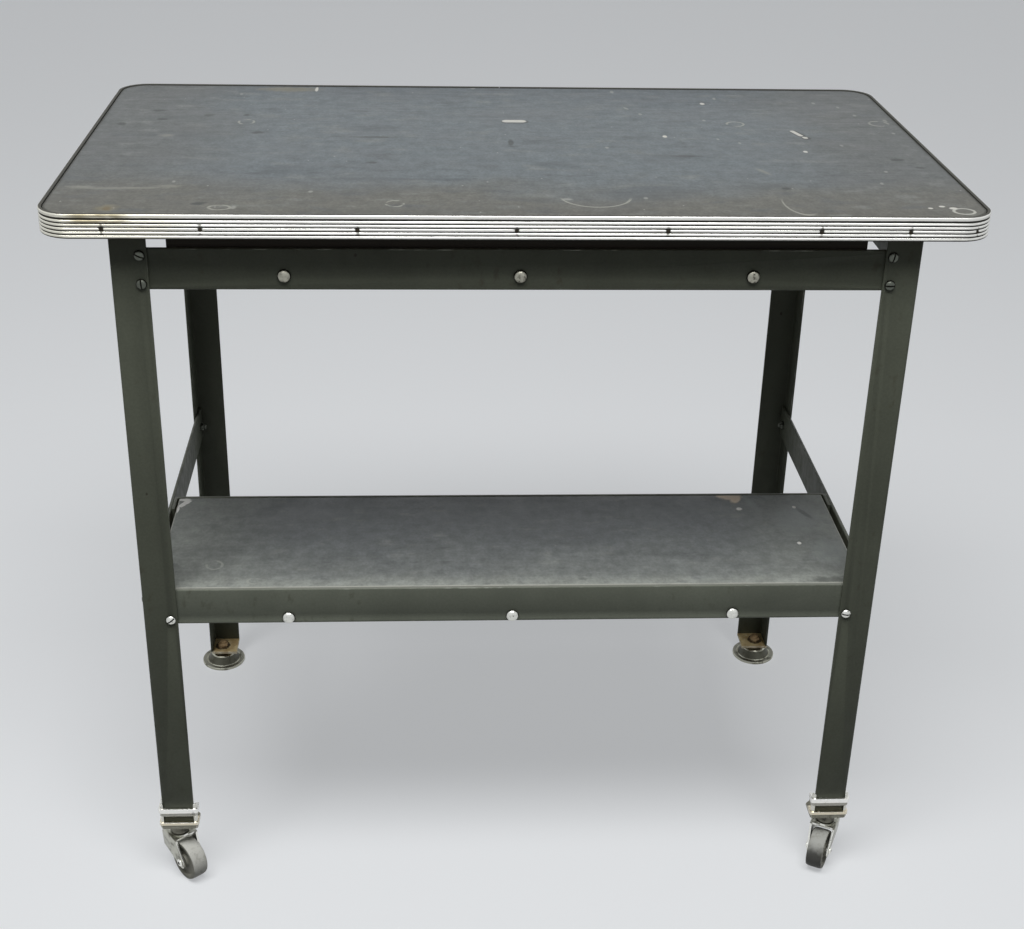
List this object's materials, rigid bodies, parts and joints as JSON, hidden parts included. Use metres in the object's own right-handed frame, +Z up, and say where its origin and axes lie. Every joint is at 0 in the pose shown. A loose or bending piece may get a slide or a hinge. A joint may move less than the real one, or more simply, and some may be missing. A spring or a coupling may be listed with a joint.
{
  "type": "typewriter table",
  "caption": "Small steel-framed typewriter table with a rounded linoleum top, ribbed aluminium edge, half-depth lower shelf, swivel casters on one side and bell glides on the other",
  "frame": {"origin": "on the floor, under the middle of the top", "axes": "+X along the length to the right seen from the caster side, +Y towards the glide side where the typist sits, +Z up"},
  "size_m": [0.762, 0.432, 0.672],
  "materials": {
    "plywood": "raw plywood, aged",
    "linoleum": "worn dark grey linoleum, satin",
    "trim_aluminium": "ribbed extrusion, dulled",
    "batten_wood": "dark stained softwood",
    "frame_paint": "olive grey enamel, worn",
    "zinc": "zinc plated, bright",
    "painted_bolt": "painted over with the frame",
    "nickel": "dull nickel plate, spotted",
    "wheel_composition": "hard pale grey composition, scuffed",
    "rusty_steel": "rusted plate",
    "glide_steel": "tarnished pressed steel"
  },
  "bodies": {
    "frame": {"tabletop_core": "plywood", "tabletop_linoleum": "linoleum", "edge_trim": "trim_aluminium", "front_top_batten": "batten_wood", "rear_top_batten": "batten_wood", "front_left_leg": "frame_paint", "front_right_leg": "frame_paint", "rear_left_leg": "frame_paint", "rear_right_leg": "frame_paint", "front_apron": "frame_paint", "rear_apron": "frame_paint", "left_apron": "frame_paint", "right_apron": "frame_paint", "shelf_front_rail": "frame_paint", "shelf_rear_rail": "frame_paint", "left_side_rail": "frame_paint", "right_side_rail": "frame_paint", "shelf_board": "plywood", "shelf_linoleum": "linoleum", "shelf_front_cleat": "batten_wood", "shelf_rear_cleat": "batten_wood", "rear_left_foot_plate": "rusty_steel", "rear_left_glide_stem": "rusty_steel", "rear_left_glide_nut": "rusty_steel", "rear_right_foot_plate": "rusty_steel", "rear_right_glide_stem": "rusty_steel", "rear_right_glide_nut": "rusty_steel", "front_left_caster_socket": "nickel", "front_left_caster_race": "nickel", "front_left_caster_kingpin": "nickel", "front_right_caster_socket": "nickel", "front_right_caster_race": "nickel", "front_right_caster_kingpin": "nickel", "front_apron_bolt_left": "zinc", "front_apron_bolt_middle": "zinc", "front_apron_bolt_right": "zinc", "rear_apron_bolt_left": "zinc", "rear_apron_bolt_middle": "zinc", "rear_apron_bolt_right": "zinc", "shelf_rail_bolt_left": "zinc", "shelf_rail_bolt_middle": "zinc", "shelf_rail_bolt_right": "zinc", "front_left_leg_bolt_upper": "painted_bolt", "front_left_leg_bolt_lower": "painted_bolt", "front_left_leg_bolt_shelf": "zinc", "front_right_leg_bolt_upper": "painted_bolt", "front_right_leg_bolt_lower": "painted_bolt", "front_right_leg_bolt_shelf": "zinc", "left_side_rail_bolt": "painted_bolt", "right_side_rail_bolt": "painted_bolt"},
    "left_caster": {"front_left_caster_yoke": "nickel", "front_left_caster_axle": "nickel"},
    "left_wheel": {"front_left_caster_wheel": "wheel_composition"},
    "right_caster": {"front_right_caster_yoke": "nickel", "front_right_caster_axle": "nickel"},
    "right_wheel": {"front_right_caster_wheel": "wheel_composition"},
    "left_glide": {"rear_left_glide": "glide_steel"},
    "right_glide": {"rear_right_glide": "glide_steel"}
  },
  "joints": [
    {"name": "left_caster_swivel", "type": "hinge", "parent": "frame", "child": "left_caster", "pos_m": [-0.3155, -0.182, 0.05], "axis": [0, 0, 1], "continuous": true},
    {"name": "left_wheel_spin", "type": "hinge", "parent": "left_caster", "child": "left_wheel", "pos_m": [-0.3065, -0.19273, 0.01943], "axis": [0.766, 0.6428, 0], "continuous": true},
    {"name": "right_caster_swivel", "type": "hinge", "parent": "frame", "child": "right_caster", "pos_m": [0.3155, -0.182, 0.05], "axis": [0, 0, 1], "continuous": true},
    {"name": "right_wheel_spin", "type": "hinge", "parent": "right_caster", "child": "right_wheel", "pos_m": [0.30893, -0.19436, 0.01943], "axis": [0.8829, -0.4695, 0], "continuous": true},
    {"name": "left_glide_turn", "type": "hinge", "parent": "frame", "child": "left_glide", "pos_m": [-0.3155, 0.182, 0.006], "axis": [0, 0, 1], "continuous": true},
    {"name": "right_glide_turn", "type": "hinge", "parent": "frame", "child": "right_glide", "pos_m": [0.3155, 0.182, 0.006], "axis": [0, 0, 1], "continuous": true}
  ]
}
